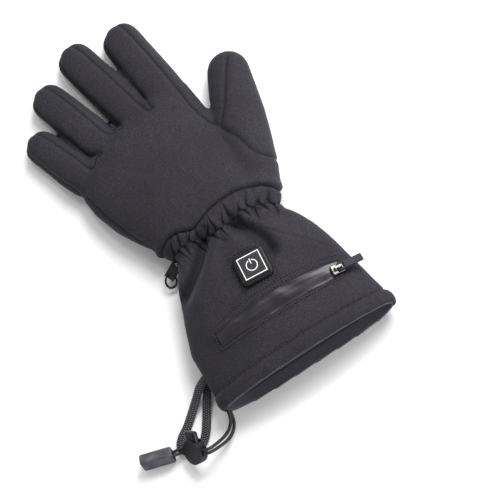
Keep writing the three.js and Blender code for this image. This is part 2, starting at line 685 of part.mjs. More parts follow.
// Disc-shaped lock leaning on the leash. Its x runs along the cords, y along the button, z out of its face
function addLock() {
  const along = new THREE.Vector3(0.559, -0.610, 0.563).normalize();
  const press = new THREE.Vector3(0.387, 0.7915, 0.4726);
  const face = new THREE.Vector3().crossVectors(along, press).normalize();
  press.crossVectors(face, along);
  const group = placedGroup(new THREE.Matrix4().makeBasis(along, press, face).setPosition(...lockCentre));

  const slotTall = drawcordPitch + drawcordThick + 2 * cordClearance;
  const slotThick = drawcordThick + 2 * cordClearance;
  const foot = slotTall / 2 + buttonFoot;
  const disc = new THREE.CylinderGeometry(lockRadius, lockRadius, lockThick, 32).rotateX(Math.PI / 2);
  const bore = new THREE.BoxGeometry(
    buttonWidth + 2 * buttonClearance, lockRadius * 2, buttonThick + 2 * buttonClearance,
  ).translate(0, lockRadius - foot - buttonTravel - buttonClearance, 0);
  const hole = new THREE.BoxGeometry(lockRadius * 3, slotTall, slotThick);
  addMesh('lock_body', geometryOf(solidOf(disc).subtract(solidOf(bore)).subtract(solidOf(hole))),
    plasticColour, 0.45, 0, group);

  const top = lockRadius + buttonProud;
  const stem = new RoundedBoxGeometry(buttonWidth, top + foot, buttonThick, 3, buttonEdge)
    .translate(0, (top - foot) / 2, 0);
  const slot = new THREE.BoxGeometry(lockRadius * 3, slotTall + buttonTravel, slotThick)
    .translate(0, buttonTravel / 2, 0);
  addMesh('lock_button', geometryOf(solidOf(stem).subtract(solidOf(slot))), plasticColour, 0.4, 0, group);
}

// Cord end standing on its narrow edge, rolled back a little. Its x points to the cords
function addCordEnd() {
  const along = new THREE.Vector3(0.934, -0.357, 0).normalize();
  const away = new THREE.Vector3(-along.y, along.x, 0);
  const roll = radians(endRoll);
  const up = new THREE.Vector3(0, 0, Math.cos(roll)).addScaledVector(away, Math.sin(roll));
  const side = new THREE.Vector3().crossVectors(up, along);
  const height = (endDeep * Math.cos(roll) + endThick * Math.sin(roll)) / 2;
  const [x, y] = endCentre;
  const group = placedGroup(new THREE.Matrix4().makeBasis(along, side, up).setPosition(x, y, height));
  const block = new RoundedBoxGeometry(endLength, endThick, endDeep, 2, endRound);
  const mouthWide = drawcordPitch + drawcordThick + 4 * cordClearance;
  const mouth = new THREE.BoxGeometry(endSlot * 2, mouthWide, endDeep * 0.6).translate(endLength / 2, 0, 0);
  addMesh('cord_end', geometryOf(solidOf(block).subtract(solidOf(mouth))), plasticColour, 0.6, 0, group);
}

addHand();
addCuff();
addBadge();
addZip();
addHook();
addCords();
addLock();
addCordEnd();

// The origin is the middle of the glove's own box, on the surface that it lies on
const cordPieces = ['leash', 'drawcord_a', 'drawcord_b', 'lock_body', 'lock_button', 'cord_end'];
partGroup.updateMatrixWorld(true);
const box = new THREE.Box3();
for (const mesh of meshes) {
  if (!cordPieces.includes(mesh.name)) box.expandByObject(mesh, true);
}
const middle = box.getCenter(new THREE.Vector3());
partGroup.position.set(-middle.x, -middle.y, 0);

export default partGroup;
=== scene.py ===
"""Heated softshell gauntlet glove for the left hand, lying on its palm, with its cuff cords laid out."""

import math

import bmesh
import bpy
import numpy as np
from bpy.props import FloatProperty, FloatVectorProperty, IntProperty, PointerProperty
from mathutils import Matrix, Vector, noise
from mathutils.bvhtree import BVHTree


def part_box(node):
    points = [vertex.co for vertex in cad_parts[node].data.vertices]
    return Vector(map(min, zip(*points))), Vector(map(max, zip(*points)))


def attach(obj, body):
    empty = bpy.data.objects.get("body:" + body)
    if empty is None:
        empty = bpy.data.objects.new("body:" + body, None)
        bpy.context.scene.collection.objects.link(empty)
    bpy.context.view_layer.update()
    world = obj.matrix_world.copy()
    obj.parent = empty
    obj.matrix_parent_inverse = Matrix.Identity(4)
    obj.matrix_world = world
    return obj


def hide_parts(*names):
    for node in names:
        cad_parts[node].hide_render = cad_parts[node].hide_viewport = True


bl_info = {
    "name": "Heated Gauntlet Glove",
    "version": (1, 0, 0),
    "blender": (4, 5, 0),
    "location": "3D View > Sidebar > Glove",
    "description": "Builds a padded softshell gauntlet glove around its fixed frame",
    "category": "Add Mesh",
}

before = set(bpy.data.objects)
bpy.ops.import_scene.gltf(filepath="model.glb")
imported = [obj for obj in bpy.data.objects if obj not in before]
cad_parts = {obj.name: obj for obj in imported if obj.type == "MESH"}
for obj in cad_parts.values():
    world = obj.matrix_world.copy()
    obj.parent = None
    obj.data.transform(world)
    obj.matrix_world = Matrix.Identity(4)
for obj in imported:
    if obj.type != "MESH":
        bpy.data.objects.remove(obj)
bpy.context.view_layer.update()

MM = 0.001
# The badge, measured like all that follows in millimetres from the hem's centre line, whose place
# in the frame comes from the badge's own box
BADGE = {"x": 8.0, "y": 76.0, "side": 28.0, "turn": -8.0}
badge_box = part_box("badge_base")
GLOVE_SHIFT = tuple((badge_box[0][k] + badge_box[1][k]) / 2 / MM - BADGE["xy"[k]] for k in (0, 1))
# The badge's print: the square's side, its line's width, the mark's ring and its bar
PRINT = {"side": 19.6, "line": 0.75, "radius": 4.6, "bar_middle": 3.6, "bar": 4.6, "thick": 0.12}
# The zip's band; its bow is towards the hem, so a negative one bends towards the fingers
ZIP = {"x": 7.4, "y": 39.2, "length": 116.0, "bow": -2.2, "turn": -5.4, "width": 14.0}
# The mouth's upper edge: how much it falls for each millimetre across, and its place at the middle
LIP_SLOPE, LIP_START = 0.073, -6.0
LEASH_WIDTH, LEASH_THICK, DRAWCORD_THICK = 7.6, 3.6, 2.8
# A stitch's rings: share of its length, share of the thread's thickness, and rise in thicknesses
STITCH_RINGS = ((0, 0.5, -0.25), (0.25, 1.0, 0.3), (0.5, 1.05, 0.42), (0.75, 1.0, 0.3), (1, 0.5, -0.25))
LONGEST_STITCH = 6.0
# Distance of the zip's near and far rows of stitches from its edge, and how far its ends' rows lie out
ZIP_ROWS, ZIP_ENDS = (1.6, 5.6), 1.02
# Distance of the badge's two rows of stitches from its sides, and their stitches' pitch
BADGE_ROWS, BADGE_PITCH = (1.2, 2.6), 2.6
# The studio's lamps: place in metres, size and power; and the strength of the light all round
LAMPS = (
    ("overhead", (1.15, 0.55, 1.3), 1.0, 46.0),
    ("window", (0.25, 0.85, 1.6), 0.4, 6.0),
    ("side", (-1.3, 0.6, 0.9), 0.9, 3.0),
    ("front", (0.6, -1.4, 0.6), 0.9, 15.0),
)
ALL_ROUND = 0.34
# The photograph's view: the frame's two flat directions as they lie in the picture before it is
# turned, the turn's cosine and sine, the point looked at, and the picture's width in metres
SEEN_X, SEEN_Y = (1.0, 0.0, -0.07), (0.0, 0.9455, 0.3256)
PICTURE_TURN = (0.806, 0.592)
LOOKED_AT = (11.9, 98.3, 15.0)
PICTURE_WIDTH, CAMERA_AWAY = 0.410, 2.0

# Lines on the cloth, seen from above, in millimetres from the hem's centre line
HAND_SEAM = [
    (66, 112), (62.8, 120), (56, 128.5), (47.7, 133.8), (30.7, 139.5), (8.2, 140.2), (-1.4, 138),
    (-14.5, 135.3), (-22, 138.5), (-29.3, 142.4), (-41, 142.0), (-50.2, 138.3), (-54, 131),
]
ELASTIC_LINE = [
    (62, 110), (54.1, 114.3), (40, 120.0), (26.1, 123.0), (10, 122.6), (-1.4, 122.3), (-12.5, 125.4),
    (-24, 129.0), (-35.3, 131.2), (-45.6, 129.3), (-53, 124),
]
THUMB_SEAMS = [
    [(93.6, 247), (88.5, 240.0), (81.4, 230.6), (75.4, 222.8), (66.3, 209.6), (58.2, 201.0), (54.4, 197.2)],
    [(52.0, 199.0), (56.0, 186.0), (60.0, 176.4), (62.7, 161.8), (67.7, 153.7), (76.0, 146.0)],
]
CUFF_SIDE_SEAM = [(30.9, 101.8), (43.1, 85.7), (57.2, 68.3), (70.0, 52.0)]
HAND_SIDE_SEAM = [(-73.5, 222), (-71.9, 212.7), (-67.3, 190.7), (-58.5, 162.3), (-49.6, 142.4)]
# Folds of the cuff: line, depth and width; the depth also sets the shade painted along the fold
CUFF_FOLDS = [
    ([(-10, 127), (-17, 120), (-24, 113), (-34, 105), (-46, 98), (-60, 91)], 6.0, 5.2),
    ([(-46, 129), (-54, 116), (-59, 104)], 1.8, 3.4),
    ([(10, 124), (17, 115), (22.5, 106), (26.5, 94.0), (27.5, 84.0), (26.0, 70)], 5.4, 5.6),
    ([(32, 121), (42, 112), (52, 101)], 1.5, 5.0),
    ([(-28, 129), (-33, 119), (-37, 110)], 1.2, 2.4),
    ([(2, 122), (0, 113), (2, 105)], 1.2, 2.6),
    ([(-19, 127), (-21, 121), (-20, 114)], 0.9, 2.0),
    ([(-70, 62), (-60, 48), (-50, 40)], 0.9, 6.0),
    ([(-60, 36), (-40, 30), (-22, 31)], 0.6, 7.0),
    ([(40, 60), (56, 56), (70, 58)], 0.7, 6.0),
]
# Middle lines of the cuff, hand, fingers and thumb: two ends, half the width and half the height
FORMS = [
    ((-1, -6), (4, 70), 78, 21), ((4, 70), (5, 120), 55, 18), ((5, 120), (-8, 200), 60, 18),
    ((-8, 200), (-10, 240), 60, 16), ((32, 237), (26.5, 320), 17, 12), ((0, 248), (-17, 332), 17, 12),
    ((-35, 245), (-55, 318), 16, 12), ((-62, 226), (-84, 292), 15, 12), ((52, 160), (84, 235), 20, 14),
]
# Fingers: base x, y and heading from the cuff's axis in degrees, length, width
FINGERS = [
    (32.2, 237.4, -4.0, 97, 36),
    (0.3, 248.3, -10.5, 98, 34),
    (-35.4, 245.1, -14.5, 87, 33),
    (-61.9, 226.5, -18.0, 76, 31),
]
# A finger's two seams: share of its length, and shares of its width to the thumb's side and the other
FINGER_SEAMS = [
    (0.10, 0.30, 0.43), (0.35, 0.305, 0.44), (0.60, 0.30, 0.43), (0.82, 0.28, 0.40), (0.93, 0.22, 0.30),
    (0.98, 0.12, 0.16),
]
# Lowest points of the seams between the fingers
CROTCHES = [(14.6, 245.6), (-15.0, 248.6), (-42.6, 240.8)]

CLOTH_NODES = (
    "palm_shell", "index_finger", "middle_finger", "ring_finger", "little_finger", "thumb", "gauntlet", "hem",
)

# Cord routes in millimetres, as in the frame
LEASH_ROUTE = [
    (-78.6, 32.6, 16.6), (-84.2, 31.5, 14.4), (-88.5, 30.2, 12.2), (-94.5, 27, 7.6), (-101, 23.2, 4.2),
    (-108, 18.6, 2.4), (-115.5, 13.4, 1.9), (-122.5, 9.6, 1.9), (-127.4, 5.6, 1.9), (-128.8, 0.8, 1.9),
    (-126.2, -4.2, 1.9), (-121, -6.8, 1.9), (-114.8, -6.6, 1.9), (-109.2, -3.4, 1.9), (-104.2, 1.6, 1.9),
    (-99.6, 7.4, 2.2), (-94.8, 13.8, 2.8), (-90.4, 19.2, 4.2), (-86.8, 23.4, 6.4), (-84.2, 26.4, 8),
    (-79.4, 29.8, 10.6),
]
DRAWCORD_ROUTES = {
    "drawcord_a": [
        (-77.6, 2.6, 14.2), (-79.6, -1.6, 13.2), (-80.8, -4.4, 11.2), (-83.5, -7.4, 7.6),
        (-88.3, -10.6, 5.5), (-93.6, -13.8, 9), (-98.2, -16.2, 14.8), (-102.6, -17.9, 20.2),
        (-105.8, -18.5, 22.6), (-108.5, -18.3, 23.2), (-111, -17.4, 22.9), (-112.76, -15.96, 21.71),
        (-116, -12.42, 18.45), (-118.8, -9.37, 15.63), (-121.6, -6.32, 12.82), (-124.84, -2.78, 9.55),
        (-126.6, -1.3, 8.2), (-129.4, 0.3, 7.1), (-132.7, 1.3, 7), (-136.1, 2, 7.4), (-140.1, 3.2, 7.6),
    ],
    "drawcord_b": [
        (-76.6, 2.8, 11.4), (-78.4, -1.6, 9.4), (-79.8, -5.2, 6.4), (-82.7, -9.6, 3.4),
        (-87.7, -13.8, 2.7), (-93.2, -17, 5.8), (-98.2, -19, 11.6), (-103, -20.6, 17.8),
        (-106.6, -21.1, 20.7), (-109.5, -20.8, 21.6), (-112.2, -19.8, 21.4), (-113.96, -18.41, 20.25),
        (-117.2, -14.87, 16.98), (-120, -11.82, 14.17), (-122.8, -8.77, 11.35), (-126.04, -5.23, 8.09),
        (-127.8, -3.8, 6.8), (-130.6, -2.4, 6), (-133.9, -1.5, 6.5), (-137.3, -0.7, 7.9),
        (-141.4, 0.5, 8.6),
    ],
}


def size_property(name, description, default, **limits):
    """A length, in millimetres, that a user can change"""
    return FloatProperty(
        name=name, description=description, default=default * MM, precision=5, unit="LENGTH", **limits)


class GloveSizes(bpy.types.PropertyGroup):
    """Sizes of the cloth's own detail"""
    cloth_grid: size_property("Cloth Grid", "Side of the cloth's mesh faces", 1.45, min=1.0 * MM)
    seam_depth: size_property("Seam Depth", "How deep the seams between panels lie", 1.15)
    pleat_pitch: size_property("Pleat Pitch", "Distance between the pleats along the wrist elastic", 8.2)
    pleat_depth: size_property("Pleat Depth", "Depth of the pleats beside the wrist elastic", 1.9)
    stitch_pitch: size_property("Stitch Pitch", "Length of one stitch and its gap", 3.0)
    thread: size_property("Thread", "Thickness of the sewing thread", 0.85)
    hem_depth: size_property("Hem Depth", "Distance from the lip to the hem's stitches", 14)
    moulding_grid: size_property("Moulding Grid", "Side of the faces of the small moulded pieces", 0.3)
    cord_sides: IntProperty(
        name="Cord Sides", description="Sides of a cord's section", default=16, min=8)


def colour_property(name, description, default):
    """A colour that a user can change"""
    return FloatVectorProperty(
        name=name, description=description, default=default, subtype="COLOR", size=3, min=0, max=1)


class GloveColours(bpy.types.PropertyGroup):
    """Colours of the glove's materials"""
    cloth: colour_property("Cloth", "Softshell cloth", (0.0098, 0.0088, 0.0122))
    cloth_worn: colour_property("Cloth Nap", "Raised fibres of the cloth", (0.042, 0.038, 0.050))
    # The facing's colour is painted far lighter than the cloth's, standing in for light that the inside of
    # the mouth doesn't get
    facing: colour_property("Facing", "Lining cloth inside the cuff", (0.070, 0.068, 0.086))
    rubber: colour_property("Rubber", "Heat button and zip pull", (0.009, 0.009, 0.011))
    coating: colour_property("Coating", "Coated zip tape", (0.017, 0.0155, 0.0205))
    nickel: colour_property("Nickel", "Zip slider", (0.20, 0.19, 0.175))
    braid: colour_property("Braid", "Wrist leash", (0.010, 0.010, 0.012))
    elastic: colour_property("Elastic", "Drawcord", (0.0060, 0.0060, 0.0080))
    moulding: colour_property("Moulding", "Cord lock and cord end", (0.0034, 0.0045, 0.0078))
    print_ink: colour_property("Print", "Printed square and power mark", (0.72, 0.72, 0.72))
    floor: colour_property("Floor", "Surface that the glove lies on", (0.90, 0.90, 0.90))


# Geometry helpers


def place(points):
    """Points in millimetres from the hem's centre line, in the frame's metres"""
    table = np.array(points, dtype=float)
    table[:, 0] += GLOVE_SHIFT[0]
    table[:, 1] += GLOVE_SHIFT[1]
    return table * MM


def own_millimetres(points):
    """Points of the frame, in millimetres from the hem's centre line"""
    return points / MM - (*GLOVE_SHIFT, 0)


def way_along(line):
    """The way along a line to each of its points"""
    return np.concatenate([[0], np.cumsum(np.linalg.norm(np.diff(line, axis=0), axis=1))])


def smooth_line(points, step):
    """Evenly spaced points on a smooth curve through the points"""
    knots = np.array(points, dtype=float)
    knots = np.vstack([2 * knots[0] - knots[1], knots, 2 * knots[-1] - knots[-2]])
    fine = []
    for i in range(1, len(knots) - 2):
        p0, p1, p2, p3 = knots[i - 1:i + 3]
        for t in np.linspace(0, 1, 12, endpoint=False):
            fine.append(0.5 * (2 * p1 + (p2 - p0) * t + (2 * p0 - 5 * p1 + 4 * p2 - p3) * t ** 2
                               + (3 * p1 - p0 - 3 * p2 + p3) * t ** 3))
    fine.append(knots[-2])
    fine = np.array(fine)
    run = way_along(fine)
    marks = np.linspace(0, run[-1], max(2, int(round(run[-1] / step)) + 1))
    return np.stack([np.interp(marks, run, fine[:, k]) for k in range(fine.shape[1])], axis=1)


def along_line(points, line):
    """For each point seen from above: its distance to the line, and the way along it"""
    nearest = np.full(len(points), 1e9)
    along = np.zeros(len(points))
    start = 0.0
    for near, far in zip(line[:-1], line[1:]):
        run = far - near
        length = math.hypot(*run)
        offset = points - near
        share = np.clip(offset @ run / length ** 2, 0, 1)
        away = offset - share[:, None] * run
        distance = np.hypot(away[:, 0], away[:, 1])
        closer = distance < nearest
        nearest[closer] = distance[closer]
        along[closer] = start + share[closer] * length
        start += length
    return nearest, along


def cloud(points, scale, seed):
    """Smooth noise of -1 to 1 at each point"""
    shift = Vector((seed * 7.31, seed * 3.17, seed * 5.23))
    return np.array([noise.noise(Vector(point) / scale + shift) for point in points])


def vector_table(items, key="co"):
    """One vector of each item, a row each"""
    table = np.empty(len(items) * 3)
    items.foreach_get(key, table)
    return table.reshape(-1, 3)


def shade_smooth(mesh):
    mesh.polygons.foreach_set("use_smooth", [True] * len(mesh.polygons))


def link(name, data):
    """A new object of the scene"""
    item = bpy.data.objects.new(name, data)
    bpy.context.scene.collection.objects.link(item)
    return item


def mesh_of(name, bm):
    """A mesh from a bmesh, which is freed"""
    mesh = bpy.data.meshes.new(name)
    bm.to_mesh(mesh)
    bm.free()
    return mesh


def bmesh_of(mesh):
    """A bmesh from a mesh"""
    bm = bmesh.new()
    bm.from_mesh(mesh)
    return bm


def from_bmesh(name, bm, smooth=True):
    """A piece from a bmesh, with its normals outward"""
    bmesh.ops.recalc_face_normals(bm, faces=bm.faces)
    mesh = mesh_of(name, bm)
    if smooth:
        shade_smooth(mesh)
    return link(name, mesh)


def face_up(piece):
    """Turns the normals of an open, lying piece upwards"""
    if piece.data.polygons[0].normal.z < 0:
        piece.data.flip_normals()


def shaped(piece, kind, **settings):
    """Applies one modifier to the piece"""
    modifier = piece.modifiers.new(kind.title(), kind)
    for key, value in settings.items():
        setattr(modifier, key, value)
    evaluated = piece.evaluated_get(bpy.context.evaluated_depsgraph_get())
    mesh = bpy.data.meshes.new_from_object(evaluated)
    piece.modifiers.clear()
    old = piece.data
    piece.data = mesh
    bpy.data.meshes.remove(old)
    mesh.name = piece.name


def node_copy(name, *nodes):
    """One merged copy of the frame's nodes"""
    bm = bmesh.new()
    for node in nodes:
        bm.from_mesh(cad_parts[node].data)
    bmesh.ops.remove_doubles(bm, verts=bm.verts, dist=0.01 * MM)
    return link(name, mesh_of(name, bm))


def surface_of(name):
    """A tree of a finished piece's faces, to find its surface by rays"""
    bm = bmesh_of(bpy.data.objects[name].data)
    tree = BVHTree.FromBMesh(bm)
    bm.free()
    return tree


def section(bm, middle, side, up, sides):
    """A ring of vertices round the middle, with its two half axes"""
    ring = bmesh.ops.create_circle(bm, segments=sides, radius=1.0)["verts"]
    for vert in ring:
        vert.co = middle + side * vert.co.x + up * vert.co.y
    return ring


def join_rings(bm, rings):
    """Faces between each ring and the next, and over both ends; the first ones with their places"""
    joined = []
    for i, (near, far) in enumerate(zip(rings[:-1], rings[1:])):
        for k in range(len(near)):
            after = (k + 1) % len(near)
            joined.append((i, k, bm.faces.new((near[k], near[after], far[after], far[k]))))
    for ring in (rings[0], rings[-1]):
        bm.faces.new(ring)
    return joined


def moulded(name, node, grid, rounding=4):
    """A copy of a hard node with the softened edges of a moulding"""
    piece = node_copy(name, node)
    shaped(piece, "REMESH", mode="VOXEL", voxel_size=grid)
    shaped(piece, "SMOOTH", factor=0.5, iterations=rounding)
    shade_smooth(piece.data)
    return piece


def finish_piece(piece, body, slot, material, *nodes):
    """Rides, takes its material and stands for its nodes; its slot is not used"""
    piece.data.materials.clear()
    piece.data.materials.append(material)
    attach(piece, body)
    if nodes:
        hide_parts(*nodes)


# Shader groups


def feed(tree, value, socket):
    """Links a node's output to the socket, or sets a constant on it"""
    if isinstance(value, bpy.types.NodeSocket):
        tree.links.new(value, socket)
    else:
        socket.default_value = value


def new_group(name, **values):
    """A group that takes a vector, its own values and two tones; returns it with its outer sockets"""
    group = bpy.data.node_groups.new(name, "ShaderNodeTree")
    sockets = [("Vector", "Vector", None), *((label, "Float", value) for label, value in values.items()),
               ("Dark", "Color", (0, 0, 0, 1)), ("Light", "Color", (1, 1, 1, 1))]
    for label, kind, default in sockets:
        socket = group.interface.new_socket(label, in_out="INPUT", socket_type="NodeSocket" + kind)
        if default is not None:
            socket.default_value = default
    for label, kind in (("Color", "Color"), ("Height", "Float"), ("Roughness", "Float")):
        group.interface.new_socket(label, in_out="OUTPUT", socket_type="NodeSocket" + kind)
    return group, group.nodes.new("NodeGroupInput").outputs, group.nodes.new("NodeGroupOutput").inputs


def new_node(tree, kind, inputs=(), **settings):
    """A node with its settings, and its inputs fed by name or number"""
    node = tree.nodes.new("ShaderNode" + kind)
    for key, value in settings.items():
        setattr(node, key, value)
    for key, value in dict(inputs).items():
        feed(tree, value, node.inputs[key])
    return node


def math_node(tree, operation, *values, clamp=False):
    return new_node(tree, "Math", enumerate(values), operation=operation, use_clamp=clamp).outputs[0]


def scaled(tree, value, factor, shift):
    """The value times the factor, plus the shift, held from 0 to 1"""
    return math_node(tree, "ADD", math_node(tree, "MULTIPLY", value, factor), shift, clamp=True)


def mix_colours(tree, factor, first, second):
    """Two colours mixed by a factor; sockets 6 and 7 are the node's colours"""
    inputs = {"Factor": factor, 6: first, 7: second}
    return new_node(tree, "Mix", inputs, data_type="RGBA").outputs[2]


def noise_node(tree, vector, scale, detail=2.0, roughness=0.5):
    inputs = {"Vector": vector, "Scale": scale, "Detail": detail, "Roughness": roughness}
    return new_node(tree, "TexNoise", inputs).outputs["Fac"]


def wave_node(tree, vector, scale, direction):
    inputs = {"Vector": vector, "Scale": scale, "Distortion": 0.6, "Detail": 1.0}
    return new_node(tree, "TexWave", inputs, bands_direction=direction).outputs["Fac"]


def close_group(group, inner, outer, factor, height, rough):
    """Mixes the group's two tones and links its outputs"""
    feed(group, mix_colours(group, factor, inner["Dark"], inner["Light"]), outer["Color"])
    feed(group, height, outer["Height"])
    feed(group, rough, outer["Roughness"])


def weave_group():
    """Fine knitted face of a cloth: threads both ways, raised fibres and uneven tone"""
    group, inner, outer = new_group("Cloth Weave", Threads=420.0)
    vector, threads = inner["Vector"], inner["Threads"]
    warp = wave_node(group, vector, threads, "X")
    weft = wave_node(group, vector, threads, "Y")
    cross = math_node(group, "MULTIPLY", warp, weft)
    fibres = noise_node(group, vector, 950.0, 3.0, 0.6)
    tone = noise_node(group, vector, 26.0, 3.0, 0.55)
    height = math_node(group, "ADD", math_node(group, "MULTIPLY", cross, 0.5), fibres)
    fleck = scaled(group, fibres, 3.6, -1.35)
    fleck = math_node(group, "MULTIPLY", fleck, math_node(group, "ADD", tone, 0.1), clamp=True)
    close_group(group, inner, outer, fleck, height, scaled(group, fibres, 0.25, 0.68))


def moulding_group():
    """Fine spark grain of a moulded surface, with rubbed patches"""
    group, inner, outer = new_group("Moulding Grain", Grain=1800.0, Gloss=0.45)
    grain = noise_node(group, inner["Vector"], inner["Grain"])
    rubbed = noise_node(group, inner["Vector"], 140.0, 4.0, 0.6)
    rough = scaled(group, rubbed, 0.22, inner["Gloss"])
    close_group(group, inner, outer, math_node(group, "POWER", rubbed, 2.0), grain, rough)


def braid_group():
    """Crossing strands of a cord, from its own UV map in millimetres along and turns around, with a highlight
    painted on the strands' crowns
    """
    group, inner, outer = new_group("Cord Braid", Pitch=1.0, Strands=6.0)
    split = new_node(group, "SeparateXYZ", {0: inner["Vector"]})
    around = math_node(group, "MULTIPLY", split.outputs[1], inner["Strands"])
    along = math_node(group, "DIVIDE", split.outputs[0], inner["Pitch"])
    waves = []
    for operation in ("ADD", "SUBTRACT"):
        turn = math_node(group, "MULTIPLY", math_node(group, operation, along, around), math.pi)
        waves.append(math_node(group, "ABSOLUTE", math_node(group, "SINE", turn)))
    height = math_node(group, "MULTIPLY", *waves)
    # The strands' crowns take the light tone: a painted highlight
    painted_glint = math_node(group, "POWER", height, 6.0)
    close_group(group, inner, outer, painted_glint, height, scaled(group, painted_glint, -0.35, 0.75))


def rgba(colour, factor=1.0):
    return (*[min(1.0, channel * factor) for channel in colour], 1.0)


def tones(colour, dark, light):
    """The darker and the lighter tone of one colour"""
    return rgba(colour, dark), rgba(colour, light)


def put(material, values):
    """Sets constants on the material's shader"""
    for key, value in values.items():
        material.node_tree.nodes["Principled BSDF"].inputs[key].default_value = value


def new_material(name, values):
    """A material with constants on its shader"""
    material = bpy.data.materials.new(name)
    material.use_nodes = True
    put(material, values)
    return material


def grouped(name, shading, group, vector, bump, distance, **values):
    """A material whose colour, roughness and relief come from a group"""
    material = new_material(name, shading)
    tree = material.node_tree
    inputs = {"Vector": new_node(tree, "TexCoord").outputs[vector], **values}
    made = new_node(tree, "Group", inputs, node_tree=bpy.data.node_groups[group]).outputs
    relief = new_node(tree, "Bump", {"Strength": bump, "Distance": distance, "Height": made["Height"]})
    for output, socket in ((made["Color"], "Base Color"), (made["Roughness"], "Roughness"),
                           (relief.outputs["Normal"], "Normal")):
        feed(tree, output, tree.nodes["Principled BSDF"].inputs[socket])
    return material


def cloth_material(name, dark, light, threads, sheen):
    """Softshell, lining or webbing"""
    shading = {"Sheen Weight": sheen, "Sheen Roughness": 0.45, "Sheen Tint": (0.80, 0.82, 0.95, 1),
               "Specular IOR Level": 0.25}
    return grouped(name, shading, "Cloth Weave", "Object", 0.35, 0.25 * MM,
                   Threads=threads, Dark=dark, Light=light)


def paint_crease_shade(material, dark):
    """Dims the cloth's colour with painted shade where the mesh is marked with crease shade"""
    tree = material.node_tree
    base = tree.nodes["Principled BSDF"].inputs["Base Color"]
    mark = new_node(tree, "Attribute", attribute_name="crease")
    # Painted shade: the cloth's colour at 0.18, mixed in by the mark
    feed(tree, mix_colours(tree, mark.outputs["Fac"], base.links[0].from_socket, rgba(dark, 0.18)), base)


def moulded_material(name, dark, light, gloss, bump=0.25, grain=1800.0, metallic=0.0):
    """Rubber, plastic, coating, metal or thread"""
    return grouped(name, {"Metallic": metallic, "Specular IOR Level": 0.3}, "Moulding Grain", "Object",
                   bump, 0.15 * MM, Grain=grain, Dark=dark, Light=light, Gloss=gloss)


def cord_material(name, dark, light, pitch, strands, bump, sheen):
    """Braid of the leash or the drawcord, whose light tone is a highlight painted on the strands"""
    return grouped(name, {"Sheen Weight": sheen}, "Cord Braid", "UV", bump, 0.4 * MM,
                   Pitch=pitch, Strands=strands, Dark=dark, Light=light)


# Pieces


def cord_piece(name, route, wide, thick, sides):
    """A cord along its route: joined rings, with millimetres along and turns around in its UV map"""
    line = smooth_line(place(route), 1.2 * MM)
    tangents = np.gradient(line, axis=0)
    bm = bmesh.new()
    uv = bm.loops.layers.uv.new("UVMap")
    run = way_along(line)
    rings = []
    for point, tangent in zip(line, tangents):
        along = Vector(tangent).normalized()
        side = Vector((-along.y, along.x, 0)).normalized()
        up = along.cross(side)
        rings.append(section(bm, Vector(point), side * wide / 2 * MM, up * thick / 2 * MM, sides))
    for i, k, face in join_rings(bm, rings):
        marks = ((run[i], k), (run[i], k + 1), (run[i + 1], k + 1), (run[i + 1], k))
        for loop, (along, turn) in zip(face.loops, marks):
            loop[uv].uv = (along / MM, turn / sides)
    return from_bmesh(name, bm), [tuple(point) for point in line]


class GLOVE_OT_camera(bpy.types.Operator):
    """Sets the camera where the photograph was taken from"""
    bl_idname = "glove.camera"
    bl_label = "Camera"

    def execute(self, context):
        seen_x, seen_y = Vector(SEEN_X), Vector(SEEN_Y)
        right = (PICTURE_TURN[0] * seen_x - PICTURE_TURN[1] * seen_y).normalized()
        back = seen_x.cross(seen_y).normalized()
        up = back.cross(right).normalized()
        target = Vector(place([LOOKED_AT])[0])
        data = bpy.data.cameras.new("camera")
        data.lens = data.sensor_width * CAMERA_AWAY / PICTURE_WIDTH
        stand = Matrix((right, up, right.cross(up))).transposed().to_4x4()
        stand.translation = target + back * CAMERA_AWAY
        camera = link("camera", data)
        camera.matrix_world = stand
        context.scene.camera = camera
        return {"FINISHED"}


class GLOVE_OT_cords(bpy.types.Operator):
    """Lays the wrist leash and the two strands of the drawcord"""
    bl_idname = "glove.cords"
    bl_label = "Cords"

    def execute(self, context):
        sizes, colours = context.scene.glove_sizes, context.scene.glove_colours
        # The light tones of both cords are highlights painted on the strands' crowns
        braid = cord_material("braided_leash", *tones(colours.braid, 0.2, 26), 2.0, 6.0, 1.0, 0.1)
        shiny = cord_material("elastic_cord", *tones(colours.elastic, 0.5, 2.4), 0.7, 5.0, 0.25, 0.05)
        put(shiny, {"Coat Weight": 0.15, "Coat Roughness": 0.3})
        leash, path = cord_piece("wrist_leash", LEASH_ROUTE, LEASH_WIDTH, LEASH_THICK, sizes.cord_sides)
        finish_piece(leash, "glove", "braid", braid, "leash")
        self.declare(leash, path, LEASH_WIDTH * MM, "object")
        for node, route in DRAWCORD_ROUTES.items():
            cord, path = cord_piece(
                node + "_strand", route, DRAWCORD_THICK, DRAWCORD_THICK, sizes.cord_sides)
            finish_piece(cord, "glove", "elastic_cord", shiny, node)
            self.declare(cord, path, DRAWCORD_THICK * MM, "fitting", ["lock_body", "cord_end"])
        return {"FINISHED"}

    def declare(self, piece, path, diameter, far_end, with_pieces=()):
        """Takes the cord's piece, path, diameter, far end and the pieces it carries, and does nothing with
        them
        """


def finger_lines():
    """Seams of the fingers: one on each side of every back panel, joined round the crotches"""
    lines, sides = [], []
    for x, y, heading, length, width in FINGERS:
        turn = math.radians(heading)
        ahead = np.array([math.sin(turn), math.cos(turn)])
        right = np.array([math.cos(turn), -math.sin(turn)])
        sides.append([
            [(x, y) + ahead * length * row[0] + right * way * width * row[k] for row in FINGER_SEAMS]
            for k, way in ((1, 1), (2, -1))])
    for i, crotch in enumerate(CROTCHES):
        bottom = np.array(crotch)
        turn = [bottom + (-3.8, 2.8), bottom, bottom + (1.6, 3.4)]
        lines.append(sides[i + 1][0][::-1] + turn + sides[i][1])
    lines.append(sides[0][0][::-1] + [(43.2, 227.5), (47.6, 208.4), (52.0, 199.0)])
    lines.append(sides[3][1][::-1] + [(-79.5, 226)])
    return [np.array(line) for line in lines]


def groove(distance, width):
    return np.exp(-(distance / width) ** 2)


